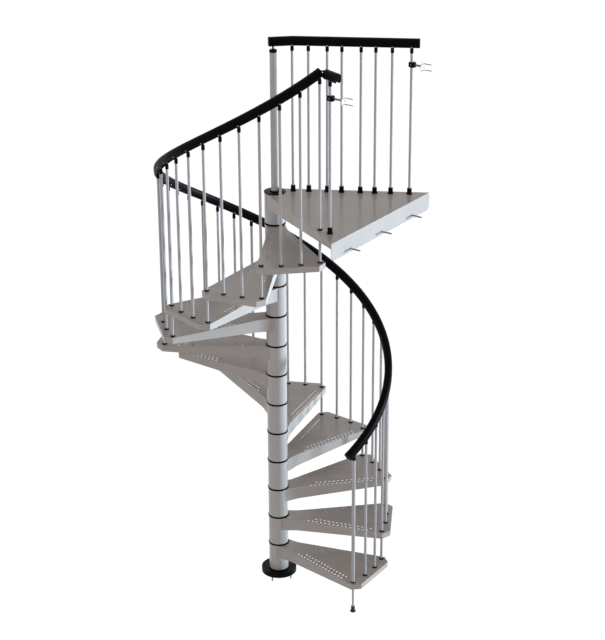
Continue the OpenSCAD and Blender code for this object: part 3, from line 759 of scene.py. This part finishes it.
def makeAnchor(kind):
    form = anchorForm
    radius, low, high = anchors[kind]["head"]
    head = lathe([(0, low), (radius * form["headTop"], low), (radius, low + form["topSlope"]),
                  (radius, high - form["footSlope"]), (radius * form["headFoot"], high), (0, high)],
                 hexSides)
    radius, low, high = anchors[kind]["washer"]
    washer = lathe([(form["washerBore"], low), (radius, low, form["washerSoft"]),
                    (radius, high, form["washerSoft"]), (form["washerBore"], high)], form["washerSteps"])
    return joined([lathe(anchorRod(*anchors[kind]["rod"]), anchors[kind]["steps"]), head, washer])


def makeAnchors():
    slab, plate, floor = anchors["slab"], anchors["plate"], anchors["floor"]
    places = [Vector((stair["wall"], side, landingTop - slab["down"]))
              for side in (-slab["gap"], 0, slab["gap"])]
    finishPiece(copied(makeAnchor("slab"), [towards(place, out) for place in places]),
                "slab_edge_anchors", "zinc_steel", ["landing_anchors"])
    height = landingTop + row["clampHeight"]
    places = [Vector((stair["wall"], post.y, height + lift))
              for post in wallPosts for lift in (-plate["half"], plate["half"])]
    finishPiece(copied(makeAnchor("plate"), [towards(place, out) for place in places]),
                "wall_plate_anchors", "zinc_steel", ["wall_anchors"])
    turns = [radians(floor["firstTurn"] + 360 / floor["count"] * place) for place in range(floor["count"])]
    places = [Vector((floor["circle"] * cos(turn), floor["circle"] * sin(turn), 0)) for turn in turns]
    finishPiece(copied(makeAnchor("floor"), [towards(place, -up) for place in places]),
                "base_anchors", "zinc_steel", ["floor_anchors"])


# Two half blocks either side of the baluster with a gap between them, an arm with a nut, and the wall disc
clamp = {"middle": 0.006, "half": (0.042, 0.0146, 0.034), "halfOff": 0.0077, "soft": 0.003, "softSteps": 3,
         "core": (0.036, 0.004, 0.028), "armFrom": 0.027, "armRadius": 0.007, "armSoft": (0.0006, 0.0003),
         "discThick": 0.004, "screwSteps": 24, "armSteps": 32, "discSteps": 64,
         "nut": ((0.006, -0.009), (0.0098, -0.009), (0.0112, -0.0082), (0.0112, -0.0005), (0.006, -0.0005)),
         "disc": ((0, -0.004), (0.0365, -0.004, 0.0008), (0.038, -0.0025, 0.0008), (0.038, 0), (0.0068, 0),
                  (0.0036, -0.0031), (0, -0.0031)),
         "setScrew": ((0, 0), (0.0044, 0), (0.0044, 0.0014, 0.0005), (0.0022, 0.0014), (0.0022, 0.0003),
                      (0, 0.0003)),
         "setScrewAt": (0.003, -0.0148),
         "sunkScrew": ((0, -0.003), (0.0033, -0.003), (0.0062, -0.0002), (0.003, -0.0002), (0.003, -0.002),
                       (0, -0.002))}


def block(size, centre):
    bpy.ops.mesh.primitive_cube_add(size=1, location=centre)
    piece = bpy.context.object
    piece.scale = size
    startOn(piece)
    bpy.ops.object.transform_apply(location=True, rotation=True, scale=True)
    return piece


def makeWallClamps():
    height = landingTop + row["clampHeight"]
    halves = []
    for side in (-1, 1):
        half = block(clamp["half"], (clamp["middle"], side * clamp["halfOff"], 0))
        applyModifier(half, "BEVEL", width=clamp["soft"], segments=clamp["softSteps"], limit_method="ANGLE")
        halves.append(half)
    halves.append(block(clamp["core"], (clamp["middle"], 0, 0)))
    finishPiece(copied(joined(halves), [post + height * up for post in wallPosts]),
                "clamp_blocks", "black_plastic", ["wall_clamps"])
    screwX, screwY = clamp["setScrewAt"]
    places = [towards(post + Vector((screwX, screwY, height)), Vector((0, -1, 0))) for post in wallPosts]
    middles = [towards(Vector((stair["wall"], post.y, height)), out) for post in wallPosts]
    setScrew, sunkScrew = (lathe(clamp[kind], clamp["screwSteps"]) for kind in ("setScrew", "sunkScrew"))
    finishPiece(joined([copied(setScrew, places), copied(sunkScrew, middles)]),
                "clamp_screws", "zinc_steel")
    arms = []
    for post in wallPosts:
        long = stair["wall"] - clamp["discThick"] - post.x - clamp["armFrom"]
        radius = clamp["armRadius"]
        near, far = clamp["armSoft"]
        arm = lathe([(0, 0), (radius, 0, near), (radius, long, far), (0, long)], clamp["armSteps"])
        nut = lathe([(corner[0], long + corner[1]) for corner in clamp["nut"]], hexSides)
        place = towards(post + Vector((clamp["armFrom"], 0, height)), out)
        arms.append(copied(joined([arm, nut]), [place]))
    finishPiece(joined(arms), "clamp_rods", "zinc_steel", ["clamp_arms"])
    finishPiece(copied(lathe(clamp["disc"], clamp["discSteps"]), middles),
                "wall_discs", "white_coat", ["wall_plates"])


def screwPair(centre, outward):
    # A place on each lip of the rail, below its middle
    return [towards(centre + side * rail["screwOut"] * outward - rail["screwDown"] * up, side * outward)
            for side in (-1, 1)]


def makeRailScrews():
    # Domed screws through both lips of the rails, one pair at each baluster
    screw = lathe(rail["screw"], rail["screwSteps"])
    places = []
    for slot in [0, *slots]:
        centre = slotPoint(slot, railHeight(slot))
        outward = Vector((centre.x, centre.y, 0)).normalized()
        places += screwPair(centre, outward)
    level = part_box("landing_handrail")[1].z - rail["high"] / 2
    for index, post in enumerate(landingPosts):
        turn = radians(row["angle"] if index else rail["endTurn"])
        places += screwPair(post + level * up, Vector((sin(turn), -cos(turn), 0)))
    finishPiece(copied(screw, places), "rail_lip_screws", "baluster_coat")


# Rippled beads where the side flanges of the treads and of the landing meet the hub tube. A tread's are
# at hub from the axis, turn degrees either side of its middle.
weld = {"tall": 0.078, "ripple": 0.003, "thin": 0.0018, "thick": 0.0024, "hub": 0.069, "turn": 65.9,
        "landingSide": 0.0665, "landingAhead": 0.0168, "steps": 10}


def makeWelds():
    tall, ripples = weld["tall"], int(weld["tall"] / weld["ripple"])
    bead = [(0, 0)]
    for ripple in range(ripples):
        bead += [(weld["thin"], ripple * tall / ripples), (weld["thick"], (ripple + 0.5) * tall / ripples)]
    bead += [(weld["thin"], tall), (0, tall)]
    places = []
    for tread in treads:
        middle = stair["firstPost"] + treadTurn * (tread - 0.5)
        for side in (-1, 1):
            turn = radians(middle + side * weld["turn"])
            places.append(Vector((weld["hub"] * cos(turn), weld["hub"] * sin(turn),
                                  treadTop(tread) - stair["flange"])))
    turn = radians(row["angle"])
    for side in (-1, 1):
        foot = Vector((-weld["landingSide"] * sin(turn), side * weld["landingSide"] * cos(turn), 0))
        ahead = weld["landingAhead"] * Vector((cos(turn), side * sin(turn), 0))
        places.append(foot + ahead + (landingTop - stair["flange"]) * up)
    finishPiece(copied(lathe(bead, weld["steps"]), places), "weld_beads", "tread_coat")


# How folded sheet is softened: the width of its rounded edges and their steps, and the angles in degrees
# that count as flat, as an edge to round and as an edge that stays crisp. At a full weight the large flat
# faces alone decide the shading beside an edge.
sheet = {"soft": 0.0009, "steps": 2, "flat": 0.6, "edge": 38.0, "crisp": 38.0, "weight": 100}


def soften(node, name):
    # A softened copy of a folded sheet piece, in place of the sharp one
    source = nodes[node]
    piece = source.copy()
    piece.data = source.data.copy()
    bpy.context.scene.collection.objects.link(piece)
    piece.hide_viewport = piece.hide_render = False
    startOn(piece)
    if piece.data.has_custom_normals:
        bpy.ops.mesh.customdata_custom_splitnormals_clear()
    edit(piece)
    bpy.ops.mesh.remove_doubles(threshold=shaping["merge"])
    bpy.ops.mesh.dissolve_limited(angle_limit=radians(sheet["flat"]))
    leave()
    applyModifier(piece, "BEVEL", width=sheet["soft"], segments=sheet["steps"], limit_method="ANGLE",
                  angle_limit=radians(sheet["edge"]), use_clamp_overlap=True)
    finishPiece(piece, name, "tread_coat", [node], crisp=sheet["crisp"])
    applyModifier(piece, "WEIGHTED_NORMAL", mode="FACE_AREA", weight=sheet["weight"], keep_sharp=True)


makeCover()
makeColumnParts()
makeBalusterParts()
print("column and baluster parts made")
makeBolts()
makeAnchors()
makeWallClamps()
makeRailScrews()
makeWelds()
print("fixings made")
for tread in treads:
    soften(f"tread_{tread:02d}", f"folded_tread_{tread:02d}")
soften("landing", "folded_landing")
print("treads and landing softened")
